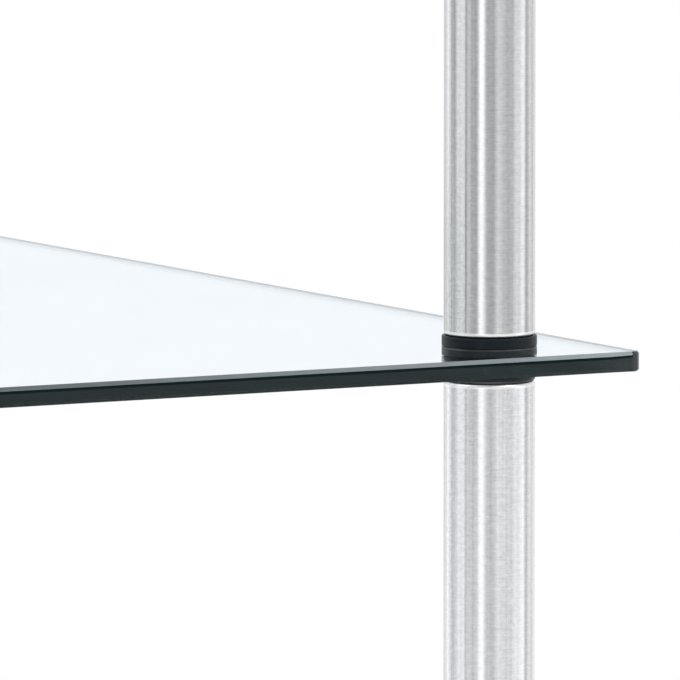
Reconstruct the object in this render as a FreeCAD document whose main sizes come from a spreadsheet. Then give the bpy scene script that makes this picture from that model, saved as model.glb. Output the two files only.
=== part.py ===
import FreeCAD, Part
import os
import Sketcher

# A free-standing glass etagere: four square tempered glass shelves on four corner posts. Each post is a
# stack of stainless tubes that studs pull together through holes in the glass, with black collars between
# tube and glass. Short legs under the lowest shelf carry screw-in levelling feet.
# Frame: origin on the floor under the middle of the shelves, +Z up, front towards -Y, millimetres.

SHELVES = 4
TIERS = SHELVES - 1
CORNERS = {
    "front_left": (-1, -1),
    "front_right": (1, -1),
    "back_left": (-1, 1),
    "back_right": (1, 1),
}

SIZES = [
    ("shelf_width", 400, "shelf, side to side"),
    ("shelf_depth", 400, "shelf, front to back"),
    ("glass_thickness", 5.5, "shelf glass"),
    ("shelf_corner_radius", 4, "rounding of a shelf corner in plan"),
    ("shelf_arris", 1.05, "ground arris along the top and bottom edges of the glass"),
    ("post_inset_side", 40.7, "post axis from the side edge of the glass"),
    ("post_inset_front", 14, "post axis from the front or back edge of the glass"),
    ("tube_diameter", 25, "outside of the post and leg tubes"),
    ("tube_wall", 1.2, "wall of the tubes"),
    ("tube_end_round", 1.1, "rounding of the tube ends"),
    ("post_length", 300, "tube between two shelves"),
    ("leg_length", 33.6, "tube under the lowest shelf"),
    ("collar_diameter", 26, "outside of the plug flanges and upper washers"),
    ("shoulder_diameter", 25, "outside of the shoulder washers"),
    ("washer_thickness", 2.5, "rubber ring above the glass"),
    ("shoulder_thickness", 1.5, "rubber ring below the glass"),
    ("washer_round", 0.6, "rounding of a washer's rim on the side away from the glass"),
    ("flange_height", 2.8, "plug flange under a post tube"),
    ("flange_round", 0.15, "rounding of a flange's lower rim"),
    ("flange_crown", 0.4, "rounding of a flange's upper rim, under the tube"),
    ("spigot_length", 15, "plug inside the tube"),
    ("spigot_chamfer", 1, "lead-in of the plugs and inserts"),
    ("insert_length", 18, "threaded insert in the top of a post"),
    ("stud_diameter", 8, "studs, shanks and foot stems"),
    ("stud_reach", 14, "thread engaged at each end of a stud"),
    ("stud_chamfer", 0.8, "point of a stud, shank or stem"),
    ("thread_clearance", 0.05, "radial, thread in its bore"),
    ("press_clearance", 0.05, "radial, insert or plug in its tube"),
    ("stud_clearance", 0.2, "radial, stud in the washers"),
    ("sleeve_wall", 0.8, "sleeve of a shoulder washer"),
    ("sleeve_clearance", 0.3, "sleeve in the glass hole, radial and at its end"),
    ("cap_height", 8, "head of a top cap"),
    ("cap_round", 1.5, "rounding of a cap's top edge"),
    ("pad_diameter", 26, "swivel pad of a foot"),
    ("pad_height", 8, "swivel pad of a foot"),
    ("pad_round", 1.2, "rounding of a pad's outer edges"),
    ("pad_floor", 3, "pad under the stem's head"),
    ("head_diameter", 14, "stem head inside the pad"),
    ("head_height", 2.4, "stem head inside the pad"),
    ("swivel_clearance", 0.1, "stem in its pad"),
    ("hexagon_width", 13, "across the flats of the stem's hexagon"),
    ("hexagon_height", 3.4, "stem's hexagon"),
    ("hexagon_gap", 0.3, "hexagon to the pad below and to the leg above"),
    ("stem_reach", 15, "stem inside the leg, foot screwed right in"),
]

doc = FreeCAD.newDocument("glass_etagere")
dims = doc.addObject("Spreadsheet::Sheet", "dims")
for row, (alias, value, note) in enumerate(SIZES, 1):
    dims.set(f"A{row}", note)
    dims.set(f"B{row}", str(value))
    dims.setAlias(f"B{row}", alias)
doc.recompute()


# Lengths that follow from the driving sizes, written as expressions on the sheet

POST_X = "(dims.shelf_width / 2 - dims.post_inset_side)"
POST_Y = "(dims.shelf_depth / 2 - dims.post_inset_front)"
TUBE_RADIUS = "dims.tube_diameter / 2"
TUBE_BORE = "(dims.tube_diameter / 2 - dims.tube_wall)"
PLUG_RADIUS = f"({TUBE_BORE} - dims.press_clearance)"
COLLAR_RADIUS = "dims.collar_diameter / 2"
SHOULDER_RADIUS = "dims.shoulder_diameter / 2"
STUD_RADIUS = "dims.stud_diameter / 2"
THREAD_BORE = f"({STUD_RADIUS} + dims.thread_clearance)"
WASHER_BORE = f"({STUD_RADIUS} + dims.stud_clearance)"
SLEEVE_RADIUS = f"({WASHER_BORE} + dims.sleeve_wall)"
GLASS_HOLE = f"({SLEEVE_RADIUS} + dims.sleeve_clearance)"
CLAMPED = "(dims.shoulder_thickness + dims.glass_thickness + dims.washer_thickness)"
LEG_BOTTOM = "(dims.pad_height + 2 * dims.hexagon_gap + dims.hexagon_height)"
LEG_TOP = f"({LEG_BOTTOM} + dims.leg_length)"
TIER_PITCH = f"({CLAMPED} + dims.flange_height + dims.post_length)"


def joint_level(shelf):
    """Height of the tube end that carries the given shelf, counted from 0 at the bottom."""
    return f"({LEG_TOP} + {shelf} * {TIER_PITCH})"


def in_millimetres(expression):
    """Value of an expression on the sheet, for the first drawing of a sketch."""
    return float(dims.evalExpression(expression))


def new_sketch(body, name, plane):
    """Sketch on one of the body's own origin planes."""
    sketch = body.newObject("Sketcher::SketchObject", name)
    support = next(item for item in body.Origin.OriginFeatures if item.Role == plane)
    sketch.AttachmentSupport = [(support, "")]
    sketch.MapMode = "FlatFace"
    return sketch


def pin_point(sketch, geometry, end, across, up):
    """Holds one point of a sketch at the two expressions, measured from the sketch's origin."""
    for kind, expression in (("DistanceX", across), ("DistanceY", up)):
        datum = in_millimetres(expression)
        index = sketch.addConstraint(Sketcher.Constraint(kind, -1, 1, geometry, end, datum))
        sketch.setExpression(f"Constraints[{index}]", expression)


def draw_outline(sketch, corners):
    """Closed outline of straight lines through corners given as pairs of expressions."""
    points = [FreeCAD.Vector(in_millimetres(a), in_millimetres(b), 0) for a, b in corners]
    count = len(points)
    for i in range(count):
        sketch.addGeometry(Part.LineSegment(points[i], points[(i + 1) % count]), False)
    for i in range(count):
        sketch.addConstraint(Sketcher.Constraint("Coincident", i, 2, (i + 1) % count, 1))
    for i, (across, up) in enumerate(corners):
        pin_point(sketch, i, 1, across, up)


def dress_edges(body, kind, edges, size):
    """Fillet or chamfer on named edges of a body as it stands, bound to the named size on the sheet."""
    base = body.Tip
    feature = body.newObject(f"PartDesign::{kind}", f"{body.Name}_{size}")
    feature.Base = (base, edges)
    feature.setExpression("Radius" if kind == "Fillet" else "Size", f"dims.{size}")
    doc.recompute()


def round_rims(body, radius, levels, size):
    """Fillet on the circular edges of a body that have the given radius and lie at the given heights."""
    radius_mm = in_millimetres(radius)
    levels_mm = [in_millimetres(level) for level in levels]
    names = []
    for number, edge in enumerate(body.Tip.Shape.Edges, 1):
        if not isinstance(edge.Curve, Part.Circle):
            continue
        at_level = any(abs(edge.Curve.Center.z - level) < 1e-6 for level in levels_mm)
        if at_level and abs(edge.Curve.Radius - radius_mm) < 1e-6:
            names.append(f"Edge{number}")
    dress_edges(body, "Fillet", names, size)


def turned(name, corners):
    """Body turned from a half section, given as corners (radius, height) in expressions."""
    body = doc.addObject("PartDesign::Body", name)
    section = new_sketch(body, f"{name}_section", "XZ_Plane")
    draw_outline(section, corners)
    doc.recompute()
    turn = body.newObject("PartDesign::Revolution", f"{name}_turning")
    turn.Profile = section
    turn.ReferenceAxis = (section, ["V_Axis"])
    turn.Angle = 360
    doc.recompute()
    return body


def ring_section(inner, outer, bottom, top):
    """Half section of a plain ring or tube."""
    return [(inner, bottom), (outer, bottom), (outer, top), (inner, top)]


# Glass shelf: a square plate with rounded corners and a ground arris all round, drilled at the four posts

shelf = doc.addObject("PartDesign::Body", "shelf")
plan = new_sketch(shelf, "shelf_plan", "XY_Plane")
HALF_WIDTH = "dims.shelf_width / 2"
HALF_DEPTH = "dims.shelf_depth / 2"
draw_outline(plan, [(f"{sx} * {HALF_WIDTH}", f"{sy} * {HALF_DEPTH}")
                    for sx, sy in ((-1, -1), (1, -1), (1, 1), (-1, 1))])
doc.recompute()
plate = shelf.newObject("PartDesign::Pad", "shelf_plate")
plate.Profile = plan
plate.setExpression("Length", "dims.glass_thickness")
doc.recompute()
upright_edges = [f"Edge{number}" for number, edge in enumerate(plate.Shape.Edges, 1)
                 if abs(edge.tangentAt(edge.FirstParameter).z) > 0.9]
dress_edges(shelf, "Fillet", upright_edges, "shelf_corner_radius")
flat_faces = [f"Face{number}" for number, face in enumerate(shelf.Tip.Shape.Faces, 1)
              if abs(face.normalAt(0, 0).z) > 0.9]
dress_edges(shelf, "Chamfer", flat_faces, "shelf_arris")
drilling = new_sketch(shelf, "shelf_drilling", "XY_Plane")
for number, (sx, sy) in enumerate(CORNERS.values()):
    at = (f"{sx} * {POST_X}", f"{sy} * {POST_Y}")
    centre = FreeCAD.Vector(in_millimetres(at[0]), in_millimetres(at[1]), 0)
    hole_radius = in_millimetres(GLASS_HOLE)
    drilling.addGeometry(Part.Circle(centre, FreeCAD.Vector(0, 0, 1), hole_radius), False)
    pin_point(drilling, number, 3, *at)
    index = drilling.addConstraint(Sketcher.Constraint("Radius", number, hole_radius))
    drilling.setExpression(f"Constraints[{index}]", GLASS_HOLE)
doc.recompute()
undrilled_volume = shelf.Shape.Volume
holes = shelf.newObject("PartDesign::Pocket", "shelf_holes")
holes.Profile = drilling
holes.Type = "ThroughAll"
holes.Reversed = True
doc.recompute()
if shelf.Shape.Volume >= undrilled_volume:
    raise RuntimeError("the shelf holes cut nothing")

# Post and leg tubes: drawn stainless tube, cut to length, with the ends rounded over


def tube(name, length):
    body = turned(name, ring_section(TUBE_BORE, TUBE_RADIUS, "0", length))
    round_rims(body, TUBE_RADIUS, ["0", length], "tube_end_round")
    return body


post_tube = tube("post_tube", "dims.post_length")
leg_tube = tube("leg_tube", "dims.leg_length")

# Flanged plug: black moulding pressed into the bottom of a post tube, threaded for the stud

PLUG_LENGTH = "(dims.flange_height + dims.spigot_length)"
plug = turned("plug", [
    (THREAD_BORE, "0"),
    (COLLAR_RADIUS, "0"),
    (COLLAR_RADIUS, "dims.flange_height"),
    (PLUG_RADIUS, "dims.flange_height"),
    (PLUG_RADIUS, f"({PLUG_LENGTH} - dims.spigot_chamfer)"),
    (f"({PLUG_RADIUS} - dims.spigot_chamfer)", PLUG_LENGTH),
    (THREAD_BORE, PLUG_LENGTH),
])
round_rims(plug, COLLAR_RADIUS, ["0"], "flange_round")
round_rims(plug, COLLAR_RADIUS, ["dims.flange_height"], "flange_crown")

# Threaded insert: plain steel bush pressed flush into the top of a post tube

insert = turned("insert", [
    (THREAD_BORE, "0"),
    (f"({PLUG_RADIUS} - dims.spigot_chamfer)", "0"),
    (PLUG_RADIUS, "dims.spigot_chamfer"),
    (PLUG_RADIUS, "dims.insert_length"),
    (THREAD_BORE, "dims.insert_length"),
])

# Leg core: steel bush as long as the leg, threaded right through for the stud above and the foot below

leg_core = turned("leg_core", ring_section(THREAD_BORE, PLUG_RADIUS, "0", "dims.leg_length"))

# Upper washer: black rubber ring between a plug flange or a top cap and the glass

upper_washer = turned("upper_washer", ring_section(WASHER_BORE, COLLAR_RADIUS, "0", "dims.washer_thickness"))
round_rims(upper_washer, COLLAR_RADIUS, ["dims.washer_thickness"], "washer_round")

# Shoulder washer: the ring under the glass, with a thin sleeve that lines the glass hole

SLEEVE_TOP = "(dims.shoulder_thickness + dims.glass_thickness - dims.sleeve_clearance)"
shoulder_washer = turned("shoulder_washer", [
    (WASHER_BORE, "0"),
    (SHOULDER_RADIUS, "0"),
    (SHOULDER_RADIUS, "dims.shoulder_thickness"),
    (SLEEVE_RADIUS, "dims.shoulder_thickness"),
    (SLEEVE_RADIUS, SLEEVE_TOP),
    (WASHER_BORE, SLEEVE_TOP),
])
round_rims(shoulder_washer, SHOULDER_RADIUS, ["0"], "washer_round")

# Stud: threaded rod through the glass hole, from the tube below into the plug above

STUD_LENGTH = f"({CLAMPED} + 2 * dims.stud_reach)"
stud = turned("stud", [
    ("0", "0"),
    (f"({STUD_RADIUS} - dims.stud_chamfer)", "0"),
    (STUD_RADIUS, "dims.stud_chamfer"),
    (STUD_RADIUS, f"({STUD_LENGTH} - dims.stud_chamfer)"),
    (f"({STUD_RADIUS} - dims.stud_chamfer)", STUD_LENGTH),
    ("0", STUD_LENGTH),
])

# Top cap: turned stainless head as wide as the tube, with a threaded shank through the top shelf

SHANK_LENGTH = f"({CLAMPED} + dims.stud_reach)"
CAP_TOP = f"({SHANK_LENGTH} + dims.cap_height)"
top_cap = turned("top_cap", [
    ("0", "0"),
    (f"({STUD_RADIUS} - dims.stud_chamfer)", "0"),
    (STUD_RADIUS, "dims.stud_chamfer"),
    (STUD_RADIUS, SHANK_LENGTH),
    (TUBE_RADIUS, SHANK_LENGTH),
    (TUBE_RADIUS, CAP_TOP),
    ("0", CAP_TOP),
])
round_rims(top_cap, TUBE_RADIUS, [CAP_TOP], "cap_round")

# Foot pad: black moulded disc, snapped over the head of the stem so that it swivels

SOCKET_RADIUS = "(dims.head_diameter / 2 + dims.swivel_clearance)"
SOCKET_TOP = "(dims.pad_floor + dims.head_height + dims.swivel_clearance)"
NECK_BORE = f"({STUD_RADIUS} + dims.swivel_clearance)"
PAD_RADIUS = "dims.pad_diameter / 2"
foot_pad = turned("foot_pad", [
    ("0", "0"),
    (PAD_RADIUS, "0"),
    (PAD_RADIUS, "dims.pad_height"),
    (NECK_BORE, "dims.pad_height"),
    (NECK_BORE, SOCKET_TOP),
    (SOCKET_RADIUS, SOCKET_TOP),
    (SOCKET_RADIUS, "dims.pad_floor"),
    ("0", "dims.pad_floor"),
])
round_rims(foot_pad, PAD_RADIUS, ["0", "dims.pad_height"], "pad_round")

# Foot stem: head in the pad, hexagon for the wrench, threaded shank in the leg core

HEXAGON_BOTTOM = "(dims.pad_height + dims.hexagon_gap)"
STEM_TOP = f"({LEG_BOTTOM} + dims.stem_reach)"
foot_stem = turned("foot_stem", [
    ("0", "dims.pad_floor"),
    ("dims.head_diameter / 2", "dims.pad_floor"),
    ("dims.head_diameter / 2", "(dims.pad_floor + dims.head_height)"),
    (STUD_RADIUS, "(dims.pad_floor + dims.head_height)"),
    (STUD_RADIUS, f"({STEM_TOP} - dims.stud_chamfer)"),
    (f"({STUD_RADIUS} - dims.stud_chamfer)", STEM_TOP),
    ("0", STEM_TOP),
])
hexagon_plan = new_sketch(foot_stem, "foot_stem_hexagon_plan", "XY_Plane")
HEXAGON_RADIUS = "(dims.hexagon_width / 2 / cos(30 deg))"
draw_outline(hexagon_plan, [(f"{HEXAGON_RADIUS} * cos({60 * k} deg)", f"{HEXAGON_RADIUS} * sin({60 * k} deg)")
                            for k in range(6)])
hexagon_plan.setExpression(".AttachmentOffset.Base.z", HEXAGON_BOTTOM)
doc.recompute()
hexagon = foot_stem.newObject("PartDesign::Pad", "foot_stem_hexagon")
hexagon.Profile = hexagon_plan
hexagon.setExpression("Length", "dims.hexagon_height")
doc.recompute()

# The pieces in place: one object for each node, with four alike fasteners to a group

nodes = []


def place(label, body, corner, level):
    """One piece on a post axis (or on the middle axis when corner is None) at a height."""
    piece = doc.addObject("App::Link", label)
    piece.LinkedObject = body
    piece.Label = label
    if corner:
        sx, sy = CORNERS[corner]
        piece.setExpression(".Placement.Base.x", f"{sx} * {POST_X}")
        piece.setExpression(".Placement.Base.y", f"{sy} * {POST_Y}")
    piece.setExpression(".Placement.Base.z", level)
    return piece


def place_group(label, body, level):
    """The same piece on all four post axes, as one node."""
    group = doc.addObject("Part::Compound", label)
    group.Label = label
    group.Links = [place(f"{label}_{corner}", body, corner, level) for corner in CORNERS]
    return group


for shelf_number in range(1, SHELVES + 1):
    level = joint_level(shelf_number - 1)
    glass_level = f"({level} + dims.shoulder_thickness)"
    glass_top = f"({glass_level} + dims.glass_thickness)"
    nodes.append(place_group(f"shoulder_washers_{shelf_number}", shoulder_washer, level))
    nodes.append(place(f"shelf_{shelf_number}", shelf, None, glass_level))
    nodes.append(place_group(f"upper_washers_{shelf_number}", upper_washer, glass_top))

for tier in range(1, TIERS + 1):
    level = joint_level(tier - 1)
    flange_level = f"({level} + {CLAMPED})"
    post_level = f"({flange_level} + dims.flange_height)"
    insert_level = f"({joint_level(tier)} - dims.insert_length)"
    nodes.append(place_group(f"studs_{tier}", stud, f"({level} - dims.stud_reach)"))
    nodes.append(place_group(f"post_plugs_{tier}", plug, flange_level))
    nodes.append(place_group(f"post_inserts_{tier}", insert, insert_level))
    for corner in CORNERS:
        nodes.append(place(f"post_{tier}_{corner}", post_tube, corner, post_level))

for corner in CORNERS:
    nodes.append(place(f"leg_{corner}", leg_tube, corner, LEG_BOTTOM))
    nodes.append(place(f"leg_core_{corner}", leg_core, corner, LEG_BOTTOM))
    nodes.append(place(f"foot_pad_{corner}", foot_pad, corner, "0"))
    nodes.append(place(f"foot_stem_{corner}", foot_stem, corner, "0"))
    cap_level = f"({joint_level(TIERS)} - dims.stud_reach)"
    nodes.append(place(f"top_cap_{corner}", top_cap, corner, cap_level))

doc.recompute()

# Every object sound and every piece whole before anything is written

for item in doc.Objects:
    if "Invalid" in item.State or "Error" in item.State:
        raise RuntimeError(f"{item.Name} failed: {item.State}")
shapes = {node.Label: Part.getShape(node) for node in nodes}
for label, shape in shapes.items():
    if shape.isNull() or not shape.isValid() or not shape.Solids:
        raise RuntimeError(f"{label} has no sound shape")

os.makedirs("parts", exist_ok=True)
for label, shape in shapes.items():
    shape.exportStep(os.path.join("parts", f"{label}.step"))
print(len(shapes), "nodes,", sum(len(shape.Solids) for shape in shapes.values()), "solids")
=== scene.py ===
import math

import bpy
import numpy as np
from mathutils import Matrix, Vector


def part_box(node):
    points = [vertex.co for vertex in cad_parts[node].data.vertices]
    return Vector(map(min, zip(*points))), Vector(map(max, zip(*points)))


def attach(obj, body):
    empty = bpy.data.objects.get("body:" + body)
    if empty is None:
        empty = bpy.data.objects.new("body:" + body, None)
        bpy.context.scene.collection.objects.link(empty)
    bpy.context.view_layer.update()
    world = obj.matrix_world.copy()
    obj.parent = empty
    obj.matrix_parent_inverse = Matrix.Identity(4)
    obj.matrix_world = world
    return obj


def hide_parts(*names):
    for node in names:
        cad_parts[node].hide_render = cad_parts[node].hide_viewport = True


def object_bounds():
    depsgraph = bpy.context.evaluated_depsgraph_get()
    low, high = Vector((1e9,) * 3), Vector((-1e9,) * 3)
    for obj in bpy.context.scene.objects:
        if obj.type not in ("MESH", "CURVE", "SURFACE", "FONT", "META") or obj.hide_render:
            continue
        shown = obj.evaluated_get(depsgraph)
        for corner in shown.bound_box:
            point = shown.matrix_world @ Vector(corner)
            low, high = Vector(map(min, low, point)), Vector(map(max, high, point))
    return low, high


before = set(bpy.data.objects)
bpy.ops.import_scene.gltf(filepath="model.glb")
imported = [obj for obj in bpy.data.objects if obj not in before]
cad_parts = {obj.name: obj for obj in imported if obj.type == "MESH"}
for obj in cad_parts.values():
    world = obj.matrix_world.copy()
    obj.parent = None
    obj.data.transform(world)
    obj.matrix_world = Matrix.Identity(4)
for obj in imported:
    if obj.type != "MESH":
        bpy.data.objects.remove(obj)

cad_low, cad_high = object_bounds()


# Levelling pads
# Each leg stands on a round pad of black moulded plastic, with concentric grip ribs underneath and a rim that
# the floor has scuffed. A socket in its top is snapped over the head of the levelling screw, so it stays put
# while the screw turns.

CORNERS = ("front_left", "front_right", "back_left", "back_right")
MOULD_TONES = ((0.003, 0.0055, 0.008, 1), (0.008, 0.0135, 0.019, 1))
MOULD_SPECULAR = 0.17
MOULD_ROUGHNESS = (0.34, 0.48)
MOULD_GRAIN = (2200, 2200, 2200)
MOULD_GRAIN_DEPTH = 0.00002
SCUFF_TONES = ((0.004, 0.005, 0.006, 1), (0.060, 0.060, 0.063, 1))
SCUFF_PATCHES = (500, 500, 500)
NOISE_LOW, NOISE_HIGH = 0.3, 0.7
PAD_ROUND = 0.0012
PAD_LIP = 0.0003
RIB_DEPTH = 0.0006
RIB_RADII = (0.0035, 0.0055, 0.0075, 0.0095)
RIB_GROOVE = 0.0009
GROOVE_ROUND = 0.0001
GRIP_GROOVE = 0.0005
GRIP_LEVELS = (0.0026, 0.0054)
NECK_BORE = 0.0041
SOCKET_RADIUS = 0.0071
SOCKET_TOP = 0.0055
SEAT_GAP = 0.00002
ARC_STEPS = 6
HOLD = 0.00004
SAME_POINT = 0.000002
MERGE_DECIMALS = 8
ROUND_STEPS = 96
SHARP = math.radians(32)


def post_axis(node):
    """Middle of a node's box in plan: the axis that its post, leg and foot share."""
    low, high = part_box(node)
    return (low.x + high.x) / 2, (low.y + high.y) / 2


def rounded_section(corners):
    """Half section whose corners (distance from the axis, height, radius) are rounded over.
    An arc begins radius times the tangent of half the turn before its corner, and each of its points is
    that beginning turned about the arc's centre. A point close before and after it keeps the walls true."""
    corner = np.array(corners, float)
    point, radius = corner[:, :2], corner[:, 2]
    arrive = point - np.roll(point, 1, 0)
    arrive /= np.linalg.norm(arrive, axis=1)[:, None]
    leave = np.roll(arrive, -1, 0)
    turn = np.arctan2(arrive[:, 0] * leave[:, 1] - arrive[:, 1] * leave[:, 0], (arrive * leave).sum(1))
    begin = point - arrive * (radius * np.tan(np.abs(turn) / 2))[:, None]
    across = np.stack([-arrive[:, 1], arrive[:, 0]], 1) * np.sign(turn)[:, None]
    centre = begin + across * radius[:, None]
    angle = turn[:, None] * np.linspace(0, 1, ARC_STEPS + 1)
    spoke = (begin - centre)[:, None]
    arc_x = centre[:, :1] + spoke[..., 0] * np.cos(angle) - spoke[..., 1] * np.sin(angle)
    arc_z = centre[:, 1:] + spoke[..., 0] * np.sin(angle) + spoke[..., 1] * np.cos(angle)
    arc = np.stack([arc_x, arc_z], -1)
    before = arc[:, :1] - (arrive * HOLD)[:, None]
    after = arc[:, -1:] + (leave * HOLD)[:, None]
    section = np.concatenate([before, arc, after], 1).reshape(-1, 2)
    moved = np.linalg.norm(np.diff(section, axis=0, prepend=section[-1:]), axis=1)
    return section[moved > SAME_POINT]


def grid_quads(rows, columns):
    """The four corner numbers of every cell of a grid that is counted row by row."""
    number = np.arange(rows * columns).reshape(rows, columns)
    cells = [number[:-1, :-1], number[:-1, 1:], number[1:, 1:], number[1:, :-1]]
    return np.stack(cells, -1).reshape(-1, 4)


def put_in_scene(name, points, quads, surface, finishes, finish_numbers=None):
    """Makes a mesh object of a point grid. Points that coincide become one, so seams and poles close,
    each quad becomes two triangles, and triangles that shrink to a line there are left out."""
    places, joined = np.unique(np.round(points, MERGE_DECIMALS) + 0.0, axis=0, return_inverse=True)
    corners = np.concatenate([quads[:, [0, 1, 2]], quads[:, [0, 2, 3]]])
    numbers = np.tile(np.zeros(len(quads), int) if finish_numbers is None else finish_numbers, 2)
    faces = joined.ravel()[corners]
    whole = (faces != np.roll(faces, 1, 1)).all(1)
    mesh = bpy.data.meshes.new(name)
    mesh.from_pydata(places, [], faces[whole])
    uv = mesh.uv_layers.new(name="surface")
    uv.data.foreach_set("uv", surface[corners[whole]].astype(np.float32).ravel())
    for finish in finishes:
        mesh.materials.append(finish)
    mesh.polygons.foreach_set("material_index", numbers[whole].astype(np.int32))
    mesh.shade_smooth()
    mesh.set_sharp_from_angle(angle=SHARP)
    mesh.update()
    piece = bpy.data.objects.new(name, mesh)
    bpy.context.scene.collection.objects.link(piece)
    return piece


def turned(name, radius, height, axes, finishes, step_finish=None):
    """Piece turned about upright axes: the section's points are carried round each axis by an angle a,
    to x = axis + radius cos a and y = axis + radius sin a. U runs along the section and V round it.
    Where there are several finishes, step_finish numbers them for each step along the section."""
    columns = ROUND_STEPS + 1
    angle = 2 * np.pi * (np.arange(columns) % ROUND_STEPS) / ROUND_STEPS
    rows = len(height)
    radius = np.broadcast_to(radius.reshape(rows, -1), (rows, columns))
    level = np.broadcast_to(height[:, None], (rows, columns))
    ring = np.stack([radius * np.cos(angle), radius * np.sin(angle), level], -1).reshape(-1, 3)
    step = np.hypot(np.diff(radius.mean(1), prepend=radius[0].mean()), np.diff(height, prepend=height[0]))
    around = np.arange(columns) / ROUND_STEPS * 2 * np.pi * radius.max()
    surface = np.stack(np.meshgrid(np.cumsum(step), around, indexing="ij"), -1).reshape(-1, 2)
    shift = np.array([(x, y, 0.0) for x, y in axes])
    count = len(shift)
    points = (ring[None] + shift[:, None]).reshape(-1, 3)
    quads = grid_quads(rows, columns)[None] + (np.arange(count) * rows * columns)[:, None, None]
    numbers = None if step_finish is None else np.tile(np.repeat(step_finish, ROUND_STEPS), count)
    return put_in_scene(name, points, quads.reshape(-1, 4), np.tile(surface, (count, 1)), finishes, numbers)


def turned_section(name, corners, axes, finishes, rim=(0, 0), reach=0):
    """Turned piece whose rounded section closes on itself, or on the axis. What lies within reach of the rim,
    a point given by its distance from the axis and its height, takes the second finish."""
    section = rounded_section(corners)
    section = np.concatenate([section, section[:1]])
    step_middle = (section[:-1] + section[1:]) / 2
    at_rim = (np.abs(step_middle - rim) < reach).all(1)
    return turned(name, section[:, 0], section[:, 1], axes, finishes, at_rim.astype(int))


def new_finish(name):
    """A material with its node tree and the one shader in it."""
    finish = bpy.data.materials.new(name)
    finish.use_nodes = True
    return finish, finish.node_tree, finish.node_tree.nodes["Principled BSDF"]


def add_node(tree, kind, inputs, **settings):
    """A shader node with its settings, and its sockets set to a constant or linked to another socket."""
    made = tree.nodes.new(kind)
    for key, value in settings.items():
        setattr(made, key, value)
    for key, value in inputs.items():
        if isinstance(value, bpy.types.NodeSocket):
            tree.links.new(value, made.inputs[key])
        else:
            made.inputs[key].default_value = value
    return made


def grain(tree, cycles, detail=3, coordinates="Object"):
    """Noise on the piece's own coordinates, with the given cycles to the metre along each of them."""
    where = add_node(tree, "ShaderNodeTexCoord", {}).outputs[coordinates]
    spread = add_node(tree, "ShaderNodeMapping", {"Vector": where, "Scale": cycles}).outputs["Vector"]
    noise = {"Vector": spread, "Scale": 1.0, "Detail": detail}
    return add_node(tree, "ShaderNodeTexNoise", noise).outputs[0]


def ranged(tree, value, low_high):
    """A noise value spread over a range of numbers."""
    low, high = low_high
    inputs = {"Value": value, "From Min": NOISE_LOW, "From Max": NOISE_HIGH, "To Min": low, "To Max": high}
    return add_node(tree, "ShaderNodeMapRange", inputs).outputs["Result"]


def toned(tree, value, dark, light):
    """A noise value spread between two colours."""
    ramp = add_node(tree, "ShaderNodeValToRGB", {"Fac": value})
    ramp.color_ramp.elements[0].position = NOISE_LOW
    ramp.color_ramp.elements[0].color = dark
    ramp.color_ramp.elements[1].position = NOISE_HIGH
    ramp.color_ramp.elements[1].color = light
    return ramp.outputs["Color"]


def roughen(tree, shader, gloss, relief, depth):
    """Links a noise value for the gloss to the shader, and a relief of the given depth."""
    bump = add_node(tree, "ShaderNodeBump", {"Height": relief, "Distance": depth})
    tree.links.new(gloss, shader.inputs["Roughness"])
    tree.links.new(bump.outputs["Normal"], shader.inputs["Normal"])


def black_moulding(name, tones, patches):
    """Black plastic from a spark-eroded mould: its tone changes in patches, and its fine even grain sets a
    satin gloss and a shallow relief."""
    finish, tree, shader = new_finish(name)
    speck = grain(tree, MOULD_GRAIN)
    shader.inputs["Specular IOR Level"].default_value = MOULD_SPECULAR
    tree.links.new(toned(tree, grain(tree, patches), *tones), shader.inputs["Base Color"])
    roughen(tree, shader, ranged(tree, speck, MOULD_ROUGHNESS), speck, MOULD_GRAIN_DEPTH)
    return finish


black_plastic = black_moulding("black_moulding", MOULD_TONES, MOULD_GRAIN)
scuffed_plastic = black_moulding("scuffed_moulding", SCUFF_TONES, SCUFF_PATCHES)
for corner in CORNERS:
    node = f"foot_pad_{corner}"
    pad_low, pad_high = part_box(node)
    pad_radius = (pad_high.x - pad_low.x) / 2
    floor_level, pad_top = pad_low.z, pad_high.z
    socket_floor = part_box(f"foot_stem_{corner}")[0].z - SEAT_GAP
    ribs = [(radius + side * RIB_GROOVE / 2, floor_level + RIB_DEPTH * lifted, GROOVE_ROUND)
            for radius in RIB_RADII for side, lifted in ((-1, 0), (-1, 1), (1, 1), (1, 0))]
    grips = [(pad_radius - GRIP_GROOVE * sunk, floor_level + level + rise * GRIP_GROOVE, GROOVE_ROUND)
             for level in GRIP_LEVELS for rise, sunk in ((-1, 0), (0, 1), (1, 0))]
    section = [(0, floor_level, 0), *ribs, (pad_radius, floor_level, PAD_ROUND), *grips,
               (pad_radius, pad_top, PAD_ROUND), (NECK_BORE, pad_top, PAD_LIP), (NECK_BORE, SOCKET_TOP, 0),
               (SOCKET_RADIUS, SOCKET_TOP, 0), (SOCKET_RADIUS, socket_floor, 0), (0, socket_floor, 0)]
    pad = turned_section(f"levelling_pad_{corner}", section, [post_axis(node)],
                         [black_plastic, scuffed_plastic], (pad_radius, floor_level), PAD_ROUND)
    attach(pad, node)
    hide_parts(node)


# Levelling screws
# A zinc-plated steel screw in each leg: a round head held in the pad, a hexagon for the wrench above it,
# and a rolled thread of 1.25 mm pitch that runs up into the leg.

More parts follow.
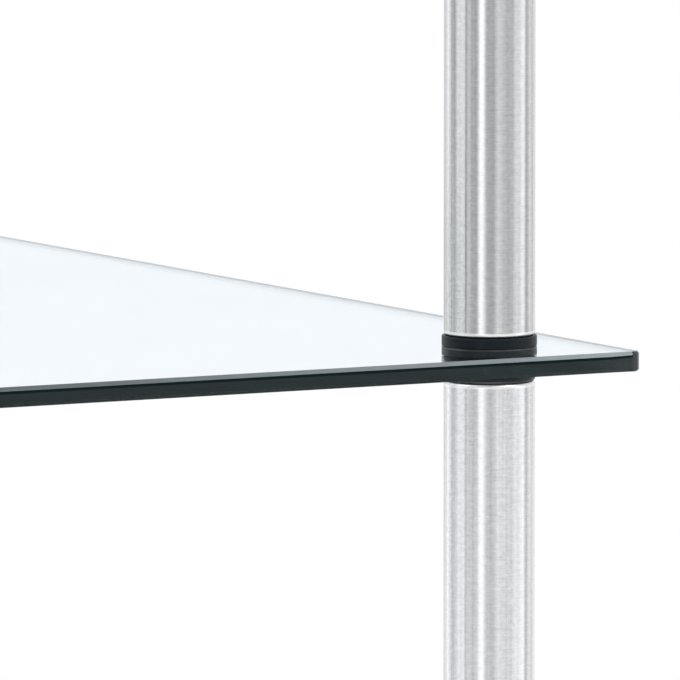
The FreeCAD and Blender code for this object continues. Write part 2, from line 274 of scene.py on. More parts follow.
THREAD_PITCH = 0.00125
THREAD_RADIUS = 0.0040
THREAD_DEPTH = 0.00068
THREAD_RELIEF = 0.0006
CREST_SHARE = 1 / 8
ROOT_SHARE = 1 / 4
ROWS_PER_TURN = 12
HEAD_RADIUS = 0.0070
HEAD_HEIGHT = 0.0024
HEAD_ROUND = 0.0004
HEXAGON_FLAT = 0.0065
HEXAGON_BOTTOM = 0.0083
HEXAGON_TOP = 0.0117
HEXAGON_FACE = 0.96
HEXAGON_ROWS = 28
CHAMFER_SLOPE = math.tan(math.radians(60))
POINT_CHAMFER = 0.0008
ZINC_BLUE = (0.56, 0.60, 0.66, 1)
ZINC_WARM = (0.68, 0.67, 0.63, 1)
ZINC_ROUGHNESS = (0.20, 0.36)
ZINC_CLOUD = (160, 160, 160)
ZINC_GRAIN = (3000, 3000, 3000)
ZINC_GRAIN_DEPTH = 0.000002


def zinc_plate():
    """Bright zinc plate: a clouded silver that shifts between a cool and a warm cast, over the fine grain of
    the pickled steel."""
    finish, tree, shader = new_finish("zinc_plate")
    cloud = grain(tree, ZINC_CLOUD, detail=5)
    shader.inputs["Metallic"].default_value = 1
    tree.links.new(toned(tree, cloud, ZINC_BLUE, ZINC_WARM), shader.inputs["Base Color"])
    roughen(tree, shader, ranged(tree, cloud, ZINC_ROUGHNESS), grain(tree, ZINC_GRAIN), ZINC_GRAIN_DEPTH)
    return finish


def screw_surface(bottom, top):
    """Radius and height of the screw over a grid of heights and angles. The hexagon's radius is its flat over
    the cosine of the angle from the middle of that flat, cut by a cone at each end. The thread's falls from
    crest to root with the distance from the helix, whose height grows by one pitch a turn."""
    angle = 2 * np.pi * (np.arange(ROUND_STEPS + 1) % ROUND_STEPS) / ROUND_STEPS
    even = np.ones_like(angle)
    head = rounded_section([(0, bottom, 0), (HEAD_RADIUS, bottom, HEAD_ROUND),
                            (HEAD_RADIUS, bottom + HEAD_HEIGHT, HEAD_ROUND), (0, bottom + HEAD_HEIGHT, 0)])
    head = head[head[:, 0] > THREAD_RADIUS]
    neck_height = np.array([bottom + HEAD_HEIGHT, HEXAGON_BOTTOM])
    hexagon_height = np.linspace(HEXAGON_BOTTOM, HEXAGON_TOP, HEXAGON_ROWS)
    from_end = np.minimum(hexagon_height - HEXAGON_BOTTOM, HEXAGON_TOP - hexagon_height)
    flats = HEXAGON_FLAT / np.cos(angle % (np.pi / 3) - np.pi / 6)
    cone = HEXAGON_FLAT * HEXAGON_FACE + CHAMFER_SLOPE * from_end
    hexagon = np.minimum(flats, cone[:, None])
    turns = (top - HEXAGON_TOP) / THREAD_PITCH
    thread_height = np.linspace(HEXAGON_TOP, top, int(turns * ROWS_PER_TURN))
    phase = (thread_height[:, None] / THREAD_PITCH - angle / (2 * np.pi)) % 1
    fall = np.clip((np.abs(2 * phase - 1) - CREST_SHARE) / (1 - CREST_SHARE - ROOT_SHARE), 0, 1)
    relief = np.clip((thread_height - HEXAGON_TOP) / THREAD_RELIEF - 1, 0, 1)
    point = np.clip((top - thread_height) / POINT_CHAMFER, 0, 1)
    thread = THREAD_RADIUS - THREAD_DEPTH * (1 - relief[:, None] * (1 - fall))
    thread = np.minimum(thread, (THREAD_RADIUS - POINT_CHAMFER * (1 - point))[:, None])
    axis_point = 0 * even[None]
    radius = np.concatenate([axis_point, head[:, :1] * even, THREAD_RADIUS * np.outer([1, 1], even),
                             hexagon, thread, axis_point])
    height = np.concatenate([[bottom], head[:, 1], neck_height, hexagon_height, thread_height, [top]])
    return radius, height


zinc = zinc_plate()
for corner in CORNERS:
    node = f"foot_stem_{corner}"
    screw_low, screw_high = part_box(node)
    radius, height = screw_surface(screw_low.z, screw_high.z)
    screw = turned(f"levelling_screw_{corner}", radius, height, [post_axis(node)], [zinc])
    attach(screw, node)
    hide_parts(node)


# Leg tubes
# Four short lengths of drawn stainless tube under the lowest shelf, cut from the same stock as the posts.
# They are belt-brushed while they spin, so fine lines run round them across the long lines that the drawing
# die left, and their ends are rolled over.

TUBE_WALL = 0.0012
TUBE_END_ROUND = 0.0011
TUBE_BURR = 0.00005
# Painted light: the satin steel, on the legs and the two lower tiers of posts, is painted a lighter tone than
# the glossy top tier, for the brighter light it reflects below the third shelf.
SATIN_TONES = ((0.555, 0.565, 0.58, 1), (0.86, 0.875, 0.895, 1))
SATIN_ROUGHNESS = (0.21, 0.29)
SATIN_STRETCH = 1.0
ROLLED_HEIGHT = 0.0014
# Painted highlight: the rolled tube ends and the caps' rounded rims get a bright tone that stands in for the
# light they catch.
ROLLED_TONES = ((0.82, 0.82, 0.82, 1), (0.93, 0.93, 0.93, 1))
ROLLED_ROUGHNESS = (0.28, 0.40)
ROLLED_STRETCH = 0.0
BRUSH_FINE = (250, 250, 5000)
BRUSH_COARSE = (750, 750, 800)
DRAWN_LINES = (1200, 1200, 8)
BRUSH_DEPTH = 0.000002


def brushed(name, lines, coordinates, tones, roughness, stretch):
    """Brushed stainless: the mean of several sizes of line sets the tone, the gloss and a shallow relief, and
    the highlight is drawn out across the lines."""
    finish, tree, shader = new_finish(name)
    brush = grain(tree, lines[0], coordinates=coordinates)
    for count, cycles in enumerate(lines[1:], 2):
        layer = grain(tree, cycles, coordinates=coordinates)
        mean = {"Factor": 1 / count, "A": brush, "B": layer}
        brush = add_node(tree, "ShaderNodeMix", mean).outputs["Result"]
    shader.inputs["Metallic"].default_value = 1
    shader.inputs["Anisotropic"].default_value = stretch
    along = add_node(tree, "ShaderNodeTangent", {}, direction_type="UV_MAP", uv_map="surface")
    tree.links.new(along.outputs["Tangent"], shader.inputs["Tangent"])
    tree.links.new(toned(tree, brush, *tones), shader.inputs["Base Color"])
    roughen(tree, shader, ranged(tree, brush, roughness), brush, BRUSH_DEPTH)
    return finish


def tube(name, node, finish, end_finish):
    """Tube over a node's height: wall between two radii, rolled over outside at both ends. The outside within
    the reach of the rolls takes the end finish, painted bright as a highlight."""
    low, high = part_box(node)
    outer = (high.x - low.x) / 2
    inner = outer - TUBE_WALL
    section = rounded_section([(inner, low.z, TUBE_BURR), (outer, low.z, TUBE_END_ROUND),
                               (outer, low.z + ROLLED_HEIGHT, 0), (outer, high.z - ROLLED_HEIGHT, 0),
                               (outer, high.z, TUBE_END_ROUND), (inner, high.z, TUBE_BURR)])
    section = np.concatenate([section, section[:1]])
    step_radius, step_level = ((section[:-1] + section[1:]) / 2).T
    from_end = np.minimum(step_level - low.z, high.z - step_level)
    rolled = (from_end < ROLLED_HEIGHT) & (step_radius > inner)
    finishes = [finish, end_finish]
    piece = turned(name, section[:, 0], section[:, 1], [post_axis(node)], finishes, rolled.astype(int))
    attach(piece, "frame")
    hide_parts(node)


brush_lines = (BRUSH_FINE, BRUSH_COARSE, DRAWN_LINES)
satin_look = (SATIN_TONES, SATIN_ROUGHNESS, SATIN_STRETCH)
rolled_look = (ROLLED_TONES, ROLLED_ROUGHNESS, ROLLED_STRETCH)
satin_steel = brushed("satin_stainless_painted_light", brush_lines, "Object", *satin_look)
rolled_steel = brushed("rolled_stainless_painted_highlight", brush_lines, "Object", *rolled_look)
for corner in CORNERS:
    tube(f"leg_tube_{corner}", f"leg_{corner}", satin_steel, rolled_steel)


# Leg cores
# A steel bush fills each leg, threaded right through: the levelling screw turns in it from below and the
# lowest stud from above. It keeps its zinc plate, and only its lower face shows.

for corner in CORNERS:
    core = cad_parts[f"leg_core_{corner}"]
    core.data.materials.clear()
    core.data.materials.append(zinc)


# Shoulder washers
# Black rubber rings under each shelf that keep steel off the glass, rounded over on the side of the tube,
# where a grey painted highlight lies on the rim in patches. A thin sleeve on each of them lines the hole in
# the glass.

WASHER_ROUND = 0.0006
WASHER_EDGE = 0.00015
WASHER_BORE = 0.0042
SLEEVE_RADIUS = 0.0050
RUBBER_TONES = ((0.005, 0.010, 0.012, 1), (0.013, 0.023, 0.028, 1))
RUBBER_SPECULAR = 0.22
RUBBER_ROUGHNESS = (0.30, 0.44)
RUBBER_GRAIN = (1500, 1500, 1500)
RUBBER_GRAIN_DEPTH = 0.00002
# Painted highlight: grey patches on the washers' rounded rims, where the rims catch the light.
WORN_TONES = ((0.001, 0.002, 0.002, 1), (0.110, 0.110, 0.115, 1))
WORN_PATCHES = (85, 85, 200)
SHELF_NUMBERS = (1, 2, 3, 4)


def black_rubber(name, tones, patches):
    """Black rubber, softer and duller than the moulding: its tone changes in patches and its dusty grain
    sets the gloss and a shallow relief."""
    finish, tree, shader = new_finish(name)
    dust = grain(tree, RUBBER_GRAIN, detail=5)
    shader.inputs["Specular IOR Level"].default_value = RUBBER_SPECULAR
    tree.links.new(toned(tree, grain(tree, patches), *tones), shader.inputs["Base Color"])
    roughen(tree, shader, ranged(tree, dust, RUBBER_ROUGHNESS), dust, RUBBER_GRAIN_DEPTH)
    return finish


def ring_radius(node):
    """Outer radius of the rings in a group of four: from the outermost post axis to the side of its box."""
    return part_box(node)[1].x - max(x for x, y in post_axes)


washer_rubbers = [black_rubber("black_rubber", RUBBER_TONES, RUBBER_GRAIN),
                  black_rubber("rubber_painted_rim_highlight", WORN_TONES, WORN_PATCHES)]
post_axes = [post_axis(f"leg_{corner}") for corner in CORNERS]
for number in SHELF_NUMBERS:
    node = f"shoulder_washers_{number}"
    low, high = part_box(node)
    outer = ring_radius(node)
    ring_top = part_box(f"shelf_{number}")[0].z - SEAT_GAP
    section = [(WASHER_BORE, low.z, 0), (outer, low.z, WASHER_ROUND), (outer, ring_top, WASHER_EDGE),
               (SLEEVE_RADIUS, ring_top, 0), (SLEEVE_RADIUS, high.z, 0), (WASHER_BORE, high.z, 0)]
    washers = turned_section(f"washers_below_shelf_{number}", section, post_axes, washer_rubbers,
                             (outer, low.z), WASHER_ROUND)
    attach(washers, "frame")
    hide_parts(node)


# Glass shelves
# Four square plates of clear tempered float glass, drilled near their rounded corners, where washers press on
# them. The edge is polished and looks dark green, with a painted shade, a darker strip, under the arris. This
# arris is ground pale. The arris and edge are painted paler toward each corner as painted light, and on the
# corners the arris takes the edge's dark finish as painted shade. The arris under the plate is left dull.

GLASS_CORNER = 0.004
GLASS_ARRIS = 0.00105
GLASS_EASE = 0.00015
GLASS_HOLE = 0.0053
SHADE_DEPTH = 0.0008
CORNER_ARRIS = 0.5
CORNER_TAPER = 4
TAPER_START = 0.04
PALE_STEPS = 1
ARRIS_LEAN = 0.2
OUTLINE_COUNTS = {"side": 24, "corner": 17, "front": 40, "seam": 15}
QUARTERS = ((1, 1), (-1, 1), (-1, -1), (1, -1))
CLEAR, ARRIS, SHADE, EDGE, UNDER, DRILLED, PRESSED = range(7)
GLASS_INDEX = 1.52
CLEAR_TINT = (0.93, 0.965, 0.985, 1)
WIPE_MARKS = (9, 26, 9)
WIPE_ROUGHNESS = (0.0, 0.02)
ROLLER_WAVES = (6, 3, 6)
ROLLER_DEPTH = 0.00002
GRIND_LINES = (40, 6000, 1)
GRIND_DEPTH = 0.000001
# The third of each set of glass tones is painted light: the worked faces turn paler over the fade toward each
# corner.
ARRIS_TONES = ((0.155, 0.20, 0.21, 1), (0.255, 0.31, 0.325, 1), (0.60, 0.70, 0.745, 1))
ARRIS_FADE = 0.17
ARRIS_ROUGHNESS = (0.30, 0.50)
ARRIS_CLEAR = 0.5
ARRIS_SPECULAR = 0.5
# Painted shade: a dark strip along the edge just under the arris.
SHADE_TONES = ((0.002, 0.009, 0.010, 1), (0.006, 0.019, 0.021, 1), (0.006, 0.014, 0.016, 1))
SHADE_CLEAR = 0.0
SHADE_SPECULAR = 0.05
EDGE_TONES = ((0.002, 0.011, 0.012, 1), (0.013, 0.035, 0.038, 1), (0.036, 0.050, 0.056, 1))
EDGE_FADE = 0.018
EDGE_ROUGHNESS = (0.05, 0.12)
EDGE_CLEAR = 0.3
EDGE_SPECULAR = 0.24
UNDER_ROUGHNESS = (0.35, 0.50)
UNDER_SPECULAR = 0.05
MIX_A, MIX_B, MIX_RESULT = 6, 7, 2  # the mix node's sockets for colours


def clear_face():
    """Fire-polished face of float glass: clear, with a faint cold cast, the slow waves left by the rollers
    of the tempering furnace and a few wipe marks."""
    finish, tree, shader = new_finish("shelf_glass_face")
    shader.inputs["Base Color"].default_value = CLEAR_TINT
    shader.inputs["IOR"].default_value = GLASS_INDEX
    shader.inputs["Transmission Weight"].default_value = 1
    wiped = ranged(tree, grain(tree, WIPE_MARKS), WIPE_ROUGHNESS)
    roughen(tree, shader, wiped, grain(tree, ROLLER_WAVES), ROLLER_DEPTH)
    return finish


def ground_glass(name, tones, fade, roughness, clearness, specular):
    """Worked glass: lines left by the wheel run along the edge and set its tone, gloss and a faint relief.
    A third, paler tone comes in over the length of the fade toward each corner: painted light."""
    finish, tree, shader = new_finish(name)
    dark, light, pale = tones
    lines = grain(tree, GRIND_LINES, coordinates="UV")
    where = add_node(tree, "ShaderNodeTexCoord", {}).outputs["UV"]
    along = add_node(tree, "ShaderNodeSeparateXYZ", {"Vector": where}).outputs["X"]
    away = add_node(tree, "ShaderNodeMath", {0: along}, operation="ABSOLUTE").outputs[0]
    near = add_node(tree, "ShaderNodeMapRange", {"Value": away, "From Max": fade, "To Min": 1, "To Max": 0})
    blend = {"Factor": near.outputs["Result"], MIX_A: toned(tree, lines, dark, light), MIX_B: pale}
    tone = add_node(tree, "ShaderNodeMix", blend, data_type="RGBA").outputs[MIX_RESULT]
    shader.inputs["IOR"].default_value = GLASS_INDEX
    shader.inputs["Transmission Weight"].default_value = clearness
    shader.inputs["Specular IOR Level"].default_value = specular
    tree.links.new(tone, shader.inputs["Base Color"])
    roughen(tree, shader, ranged(tree, lines, roughness), lines, GRIND_DEPTH)
    return finish


def seen_evenly(start, stop, hole, count):
    """Points on the straight run from start to stop that lie at even angles round the hole."""
    to_start, to_stop, run = start - hole, stop - hole, stop - start
    first = np.arctan2(to_start[1], to_start[0])
    sweep = (np.arctan2(to_stop[1], to_stop[0]) - first + np.pi) % (2 * np.pi) - np.pi
    angle = first + sweep * np.linspace(0, 1, count)
    ray_x, ray_y = np.cos(angle), np.sin(angle)
    share = (to_start[1] * ray_x - to_start[0] * ray_y) / (run[0] * ray_y - run[1] * ray_x)
    return start + share[:, None] * run


def shelf_quarter(half_width, half_depth, hole, seat_radii, bottom, top):
    """One quarter of a shelf as a grid. Its rows go round the quarter's outline: the side, the rounded
    corner, the front and the two seams to the other quarters. Its columns go up the wall of the hole, out
    over the washer's seat and the top face, down the arris, the shade under it and the edge, and back in
    under the plate over the other washer's seat. The bend's arris is narrower."""
    count = OUTLINE_COUNTS
    round_x, round_y = half_width - GLASS_CORNER, half_depth - GLASS_CORNER
    turn = np.linspace(0, 1, count["corner"])
    direction = np.stack([np.cos(turn * np.pi / 2), np.sin(turn * np.pi / 2)], 1)
    taper = np.clip(1 - CORNER_TAPER * (np.minimum(turn, 1 - turn) + TAPER_START), 0, 1) ** 2
    corners = {"side": (half_width, 0), "bend": (half_width, round_y), "front": (round_x, half_depth),
               "mid": (0, half_depth), "middle": (0, 0)}
    at = {key: np.array(value, float) for key, value in corners.items()}
    runs = [
        seen_evenly(at["side"], at["bend"], hole, count["side"])[:-1],
        np.array([round_x, round_y]) + GLASS_CORNER * direction,
        seen_evenly(at["front"], at["mid"], hole, count["front"])[1:],
        seen_evenly(at["mid"], at["middle"], hole, count["seam"])[1:],
        seen_evenly(at["middle"], at["side"], hole, count["seam"])[1:],
    ]
    outward = np.concatenate([np.tile([1.0, 0.0], (len(runs[0]), 1)), direction,
                              np.tile([0.0, 1.0], (len(runs[2]), 1)),
                              np.zeros((len(runs[3]) + len(runs[4]) - 1, 2)), [[1.0, 0.0]]])
    outline = np.concatenate(runs)
    bend_start, bend_stop = len(runs[0]), len(runs[0]) + len(runs[1]) - 1
    worked_edge = bend_stop + len(runs[2])
    spoke = (outline - hole) / np.linalg.norm(outline - hole, axis=1)[:, None]
    rim = (hole + GLASS_HOLE * spoke)[:, None]
    upper_seat, lower_seat = ((hole + radius * spoke)[:, None] for radius in seat_radii)
    shade_level = top - GLASS_ARRIS - SHADE_DEPTH
    profile = rounded_section([(GLASS_ARRIS, top, 0), (0, top - GLASS_ARRIS, GLASS_EASE), (0, shade_level, 0),
                               (0, bottom + GLASS_ARRIS, GLASS_EASE), (GLASS_ARRIS, bottom, 0)])[1:-1]
    arris = np.ones(len(outline))
    arris[bend_start:bend_stop + 1] = CORNER_ARRIS + (1 - CORNER_ARRIS) * taper
    upper = profile[:, 1] > (bottom + top) / 2
    face = np.where(upper, top, bottom)
    edge = outline[:, None] - outward[:, None] * (profile[:, 0] * arris[:, None])[..., None]
    edge_level = face + (profile[:, 1] - face) * arris[:, None]
    plan = np.concatenate([rim, rim, upper_seat, edge, lower_seat, rim], 1)
    rows, columns = plan.shape[:2]
    level = np.column_stack([np.full(rows, bottom), np.full((rows, 2), top), edge_level,
                             np.full((rows, 2), bottom)])
    points = np.concatenate([plan, level[..., None]], 2)
    step = np.diff(profile, axis=0)
    leans = np.abs(step[:, 0]) > ARRIS_LEAN * np.abs(step[:, 1])
    upright = np.where(profile[1:, 1] >= shade_level, SHADE, EDGE)
    worked = np.where(leans, np.where(upper[:-1], ARRIS, UNDER), upright)
    cell_row, cell_column = np.divmod(np.arange((rows - 1) * (columns - 1)), columns - 1)
    finishes = np.concatenate([[DRILLED, PRESSED, CLEAR], worked, [CLEAR, PRESSED]])[cell_column]
    # Painted shade: past its first steps the bend's arris takes the dark edge finish, and the painted shade
    # strip under it gives way to the edge finish.
    past_pale = (cell_row >= bend_start + PALE_STEPS) & (cell_row < bend_stop - PALE_STEPS)
    finishes[past_pale & np.isin(finishes, (ARRIS, SHADE))] = EDGE
    kept = (cell_row < worked_edge) | ~np.isin(finishes, worked)
    along = np.cumsum(np.linalg.norm(np.diff(outline, axis=0, prepend=outline[:1]), axis=1))
    along -= along[(bend_start + bend_stop) // 2]
    over_edge = np.cumsum(np.linalg.norm(np.diff(profile, axis=0, prepend=profile[:1]), axis=1))
    down = np.concatenate([[0, 0, 0], over_edge, [0, 0]])
    surface = np.stack(np.meshgrid(along, down, indexing="ij"), -1).reshape(-1, 2)
    quads = grid_quads(rows, columns)[kept]
    return points.reshape(-1, 3), quads, surface, finishes[kept]


glass_finishes = [
    clear_face(),
    ground_glass("shelf_glass_arris", ARRIS_TONES, ARRIS_FADE, ARRIS_ROUGHNESS, ARRIS_CLEAR, ARRIS_SPECULAR),
    ground_glass("shelf_glass_shade", SHADE_TONES, EDGE_FADE, EDGE_ROUGHNESS, SHADE_CLEAR, SHADE_SPECULAR),
    ground_glass("shelf_glass_edge", EDGE_TONES, EDGE_FADE, EDGE_ROUGHNESS, EDGE_CLEAR, EDGE_SPECULAR),
    ground_glass("shelf_glass_underside", EDGE_TONES, EDGE_FADE, UNDER_ROUGHNESS, EDGE_CLEAR, UNDER_SPECULAR),
    ground_glass("shelf_glass_hole", ARRIS_TONES, ARRIS_FADE, ARRIS_ROUGHNESS, ARRIS_CLEAR, ARRIS_SPECULAR),
    washer_rubbers[0],
]
hole_centre = np.abs(np.array(post_axes)).mean(0)
for number in SHELF_NUMBERS:
    node = f"shelf_{number}"
    low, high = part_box(node)
    seat_radii = [ring_radius(f"{side}_washers_{number}") - WASHER_EDGE for side in ("upper", "shoulder")]
    quarter = shelf_quarter(high.x, high.y, hole_centre, seat_radii, low.z, high.z)
    points, quads, surface, finishes = quarter
    all_points = np.concatenate([points * (flip_x, flip_y, 1) for flip_x, flip_y in QUARTERS])
    all_quads = np.concatenate([(quads if flip_x * flip_y > 0 else quads[:, ::-1]) + count * len(points)
                                for count, (flip_x, flip_y) in enumerate(QUARTERS)])
    shelf = put_in_scene(f"glass_shelf_{number}", all_points, all_quads, np.tile(surface, (len(QUARTERS), 1)),
                         glass_finishes, np.tile(finishes, len(QUARTERS)))
    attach(shelf, "frame")
    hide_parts(node)


# Upper washers
# The same black rubber, as plain rings between the glass and the plug or cap above it. Their upper rim is
# rounded over and carries a painted highlight, a thin grey line that shows here and there between washer and
# flange.

for number in SHELF_NUMBERS:
    node = f"upper_washers_{number}"
    low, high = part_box(node)
    outer = ring_radius(node)
    section = [(WASHER_BORE, low.z + SEAT_GAP, 0), (outer, low.z + SEAT_GAP, WASHER_EDGE),
               (outer, high.z, WASHER_ROUND), (WASHER_BORE, high.z, 0)]
    washers = turned_section(f"washers_above_shelf_{number}", section, post_axes, washer_rubbers,
                             (outer, high.z), WASHER_ROUND)
    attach(washers, "frame")
    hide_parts(node)


# Studs and threaded inserts
# A zinc-plated stud passes through every glass hole and pulls the tube above down on the tube below: it is
# screwed into the plug over it and into a steel insert pressed into the top of the post under it.

TIERS = (1, 2, 3)

for tier in TIERS:
    for node in (f"studs_{tier}", f"post_inserts_{tier}"):
        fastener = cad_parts[node]
        fastener.data.materials.clear()
        fastener.data.materials.append(zinc)


# Tube plugs
# Black mouldings pressed into the bottom of each post. The flange carries the tube and shows as the upper
# ring of the black collar, rounded over at the top. The spigot above it is bored and threaded for the stud.

FLANGE_ROUND = 0.00015
FLANGE_CROWN = 0.0004
SPIGOT_CHAMFER = 0.0010
SPIGOT_RADIUS = 0.01125
PLUG_BORE = 0.00405

for tier in TIERS:
    node = f"post_plugs_{tier}"
    low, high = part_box(node)
    outer = ring_radius(node)
    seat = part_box(f"post_{tier}_{CORNERS[0]}")[0].z
    section = [(PLUG_BORE, low.z, 0), (outer, low.z, FLANGE_ROUND), (outer, seat, FLANGE_CROWN),
               (SPIGOT_RADIUS, seat, 0), (SPIGOT_RADIUS, high.z - SPIGOT_CHAMFER, 0),
               (SPIGOT_RADIUS - SPIGOT_CHAMFER, high.z, 0), (PLUG_BORE, high.z, 0)]
    plugs = turned_section(f"tube_plugs_{tier}", section, post_axes, [black_plastic])
    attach(plugs, "frame")
    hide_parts(node)


# Post tubes
# Twelve lengths of brushed stainless tube, three to a corner, stacked between the shelves. The top tier is
# glossier than the tubes below it, with crisper bands, and the tubes below it are painted a lighter tone:
# painted light for the brighter reflections under the third shelf.

GLOSSY_TONES = ((0.455, 0.465, 0.47, 1), (0.695, 0.705, 0.715, 1))
GLOSSY_ROUGHNESS = (0.13, 0.21)
GLOSSY_STRETCH = 0.8

glossy_look = (GLOSSY_TONES, GLOSSY_ROUGHNESS, GLOSSY_STRETCH)
glossy_steel = brushed("glossy_stainless", brush_lines, "Object", *glossy_look)
for tier in TIERS:
    tier_steel = glossy_steel if tier == TIERS[-1] else satin_steel
    for corner in CORNERS:
        tube(f"post_tube_{tier}_{corner}", f"post_{tier}_{corner}", tier_steel, rolled_steel)


# End caps
# Turned stainless caps close the four posts over the top shelf. The lathe leaves fine rings on the top, the
# rounded rim takes the bright end finish of the tubes, a painted highlight, and a threaded shank goes down
# through the glass into the post.

CAP_ROUND = 0.0015
CAP_UNDER_ROUND = 0.0003
SHANK_POINT = 0.0008
LATHE_FINE = (4200, 40, 1)
LATHE_COARSE = (800, 20, 1)

lathe_lines = (LATHE_FINE, LATHE_COARSE)
turned_steel = brushed("turned_stainless", lathe_lines, "UV", *glossy_look)
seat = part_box(f"upper_washers_{SHELF_NUMBERS[-1]}")[1].z
for corner in CORNERS:
    node = f"top_cap_{corner}"
    low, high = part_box(node)
    outer = (high.x - low.x) / 2
    section = [(0, low.z, 0), (THREAD_RADIUS - SHANK_POINT, low.z, 0),
               (THREAD_RADIUS, low.z + SHANK_POINT, 0), (THREAD_RADIUS, seat, 0),
               (outer, seat, CAP_UNDER_ROUND), (outer, high.z, CAP_ROUND), (0, high.z, 0)]
    cap = turned_section(f"end_cap_{corner}", section, [post_axis(node)], [turned_steel, rolled_steel],
                         (outer, high.z), CAP_ROUND)
    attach(cap, "frame")
    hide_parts(node)


# Floor
# A plain pale studio floor. What the camera sees of it, straight, in the steel or through the glass, is
# lifted to white, and the shade under the etagere stays.

FLOOR_HALF = 1.8
FLOOR_COLOUR = (0.80, 0.80, 0.80, 1)
FLOOR_LIFT = 0.31
WHITE = (1, 1, 1, 1)


def seen_rays(tree, *kinds):
    """1 for a ray of one of the kinds that the light path node names, and 0 for other light."""
    path = add_node(tree, "ShaderNodeLightPath", {}).outputs
    seen = path[kinds[0]]
    for kind in kinds[1:]:
        seen = add_node(tree, "ShaderNodeMath", {0: seen, 1: path[kind]}, operation="MAXIMUM").outputs[0]
    return seen


corners = np.array([(-1, -1, 0), (1, -1, 0), (1, 1, 0), (-1, 1, 0)]) * FLOOR_HALF
floor_mesh = bpy.data.meshes.new("studio_floor")
floor_mesh.from_pydata(corners + (0, 0, cad_low.z), [], [(0, 1, 2, 3)])
floor = bpy.data.objects.new("studio_floor", floor_mesh)
bpy.context.scene.collection.objects.link(floor)
floor_finish, tree, shader = new_finish("studio_floor")
shader.inputs["Base Color"].default_value = FLOOR_COLOUR
shader.inputs["Specular IOR Level"].default_value = 0
shader.inputs["Emission Color"].default_value = WHITE
in_view = seen_rays(tree, "Is Camera Ray", "Is Glossy Ray", "Is Transmission Ray")
lift = add_node(tree, "ShaderNodeMath", {0: in_view, 1: FLOOR_LIFT}, operation="MULTIPLY")
tree.links.new(lift.outputs[0], shader.inputs["Emission Strength"])
floor_mesh.materials.append(floor_finish)


# Camera
# A long lens that stands well back at the height of the top shelf and looks down at the front right corner of
# the third, as in the photograph. Its place was fitted to the edges of the shelf and the sides of the tubes.

IMAGE_PIXELS = 680
FOCAL_PIXELS = 11534.3
SENSOR_WIDTH = 36.0
CAMERA_YAW = math.radians(28.68)
CAMERA_PITCH = math.radians(5.86)
CAMERA_DISTANCE = 3.1457
AIM_ACROSS = -0.08304
AIM_UP = 0.00303

shelf_low, shelf_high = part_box("shelf_3")
corner_point = np.array([shelf_high.x, shelf_low.y, shelf_high.z])
right = np.array([math.cos(CAMERA_YAW), -math.sin(CAMERA_YAW), 0])
ahead = np.array([math.sin(CAMERA_YAW) * math.cos(CAMERA_PITCH),
                  math.cos(CAMERA_YAW) * math.cos(CAMERA_PITCH), -math.sin(CAMERA_PITCH)])
up = np.cross(right, ahead)
eye = corner_point + AIM_ACROSS * right + AIM_UP * up - CAMERA_DISTANCE * ahead
lens = bpy.data.cameras.new("camera")
lens.sensor_width = SENSOR_WIDTH
lens.lens = FOCAL_PIXELS / IMAGE_PIXELS * SENSOR_WIDTH
camera = bpy.data.objects.new("camera", lens)
camera.location = eye
camera.rotation_euler = (math.pi / 2 - CAMERA_PITCH, 0, -CAMERA_YAW)
bpy.context.scene.collection.objects.link(camera)
bpy.context.scene.camera = camera


# Studio light
# A white studio: the world lights everything evenly and two soft lamps stand high at the sides. Seen only in
# mirror-like surfaces are upright panels around the object, which put the light and dark bands on the steel,
# a plain ceiling over them, and straight behind a cool wall, which the glass reflects.

WORLD_LEVEL = 0.75
STUDIO = (  # from and to, in degrees to the right of the camera's side, and brightness
    (-180, -140, 1.02),
    (-131, -125, 1.40),
    (-105, -99, 0.69),
    (-86, -68, 1.26),
    (-60, -51, 0.90),
    (-45, -33, 0.66),
    (-23, -18, 1.85),
    (-8, 12, 0.67),
    (20, 23, 1.13),
    (40, 58, 0.78),
    (70, 80, 1.16),
    (89, 96, 1.45),
    (104, 110, 0.70),
    (120, 124, 1.12),
    (132, 136, 0.88),
    (148, 180, 1.05),
)
WALL_REACH = (-0.94, -0.97)
WALL_COLOUR = (0.93, 0.98, 1.03, 1)
CEILING_RISE = (0.20, 0.36)
CEILING_LEVEL = 0.92
LAMP_SIZE = 1.6
LAMP_POWER = 14
LAMP_SIDES = {"left": math.radians(-75), "right": math.radians(60)}
LAMP_AWAY = 2.2
LAMP_HEIGHT = 2.6

world = bpy.data.worlds.new("studio")
world.use_nodes = True
bpy.context.scene.world = world
tree = world.node_tree
toward_camera = -ahead * (1, 1, 0) / math.cos(CAMERA_PITCH)
direction = add_node(tree, "ShaderNodeTexCoord", {}).outputs["Generated"]
across, along = (add_node(tree, "ShaderNodeVectorMath", {0: direction, 1: tuple(axis)},
                          operation="DOT_PRODUCT").outputs["Value"] for axis in (right, toward_camera))
angle = add_node(tree, "ShaderNodeMath", {0: across, 1: along}, operation="ARCTAN2").outputs[0]
share = add_node(tree, "ShaderNodeMapRange", {"Value": angle, "From Min": -math.pi, "From Max": math.pi})
ramp = add_node(tree, "ShaderNodeValToRGB", {"Fac": share.outputs["Result"]})
stops = [(degrees / 360 + 0.5, level) for start, stop, level in STUDIO for degrees in (start, stop)]
elements = ramp.color_ramp.elements
elements.remove(elements[1])
elements[0].position = stops[0][0]
markers = [elements[0]] + [elements.new(place) for place, level in stops[1:]]
for marker, (place, level) in zip(markers, stops):
    marker.color = (level, level, level, 1)
rise = add_node(tree, "ShaderNodeSeparateXYZ", {"Vector": direction}).outputs["Z"]
overhead = add_node(tree, "ShaderNodeMapRange", {"Value": rise, "From Min": CEILING_RISE[0],
                                                 "From Max": CEILING_RISE[1]}).outputs["Result"]
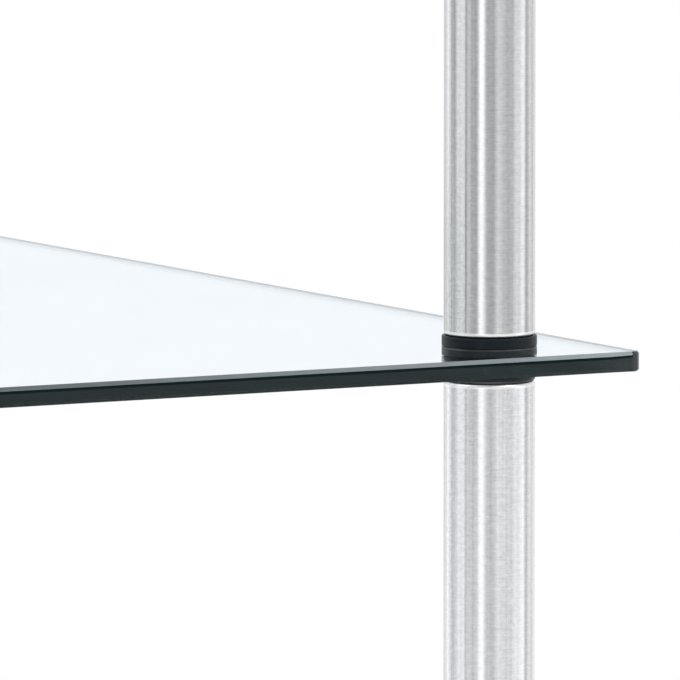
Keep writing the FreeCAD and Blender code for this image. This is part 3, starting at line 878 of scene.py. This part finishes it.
behind = add_node(tree, "ShaderNodeMapRange", {"Value": along, "From Min": WALL_REACH[0],
                                               "From Max": WALL_REACH[1]}).outputs["Result"]
straight = seen_rays(tree, "Is Camera Ray", "Is Transmission Ray")
off_mirror = seen_rays(tree, "Is Glossy Ray")
plain = add_node(tree, "ShaderNodeBackground", {"Color": WHITE, "Strength": WORLD_LEVEL})
panels = add_node(tree, "ShaderNodeBackground", {"Color": ramp.outputs["Color"], "Strength": 1.0})
ceiling = add_node(tree, "ShaderNodeBackground", {"Color": WHITE, "Strength": CEILING_LEVEL})
wall = add_node(tree, "ShaderNodeBackground", {"Color": WALL_COLOUR, "Strength": 1.0})
sides = add_node(tree, "ShaderNodeMixShader", {0: behind, 1: panels.outputs[0], 2: wall.outputs[0]})
around = add_node(tree, "ShaderNodeMixShader", {0: overhead, 1: sides.outputs[0], 2: ceiling.outputs[0]})
white = add_node(tree, "ShaderNodeBackground", {"Color": WHITE, "Strength": 1.0})
mirrored = add_node(tree, "ShaderNodeMixShader", {0: off_mirror, 1: plain.outputs[0], 2: around.outputs[0]})
seen = add_node(tree, "ShaderNodeMixShader", {0: straight, 1: mirrored.outputs[0], 2: white.outputs[0]})
tree.links.new(seen.outputs[0], tree.nodes["World Output"].inputs["Surface"])

lamp_tilt = math.atan2(LAMP_AWAY, LAMP_HEIGHT - (cad_low.z + cad_high.z) / 2)
for side, turn in LAMP_SIDES.items():
    soft_box = bpy.data.lights.new(f"{side}_lamp", "AREA")
    soft_box.size = LAMP_SIZE
    soft_box.energy = LAMP_POWER
    lamp = bpy.data.objects.new(f"{side}_lamp", soft_box)
    lamp_side = toward_camera * math.cos(turn) + right * math.sin(turn)
    lamp.location = lamp_side * LAMP_AWAY + np.array([0, 0, LAMP_HEIGHT])
    lamp.rotation_euler = (lamp_tilt, 0, math.atan2(lamp_side[0], -lamp_side[1]))
    lamp.visible_camera = False
    bpy.context.scene.collection.objects.link(lamp)

bpy.context.scene.view_settings.view_transform = "Standard"
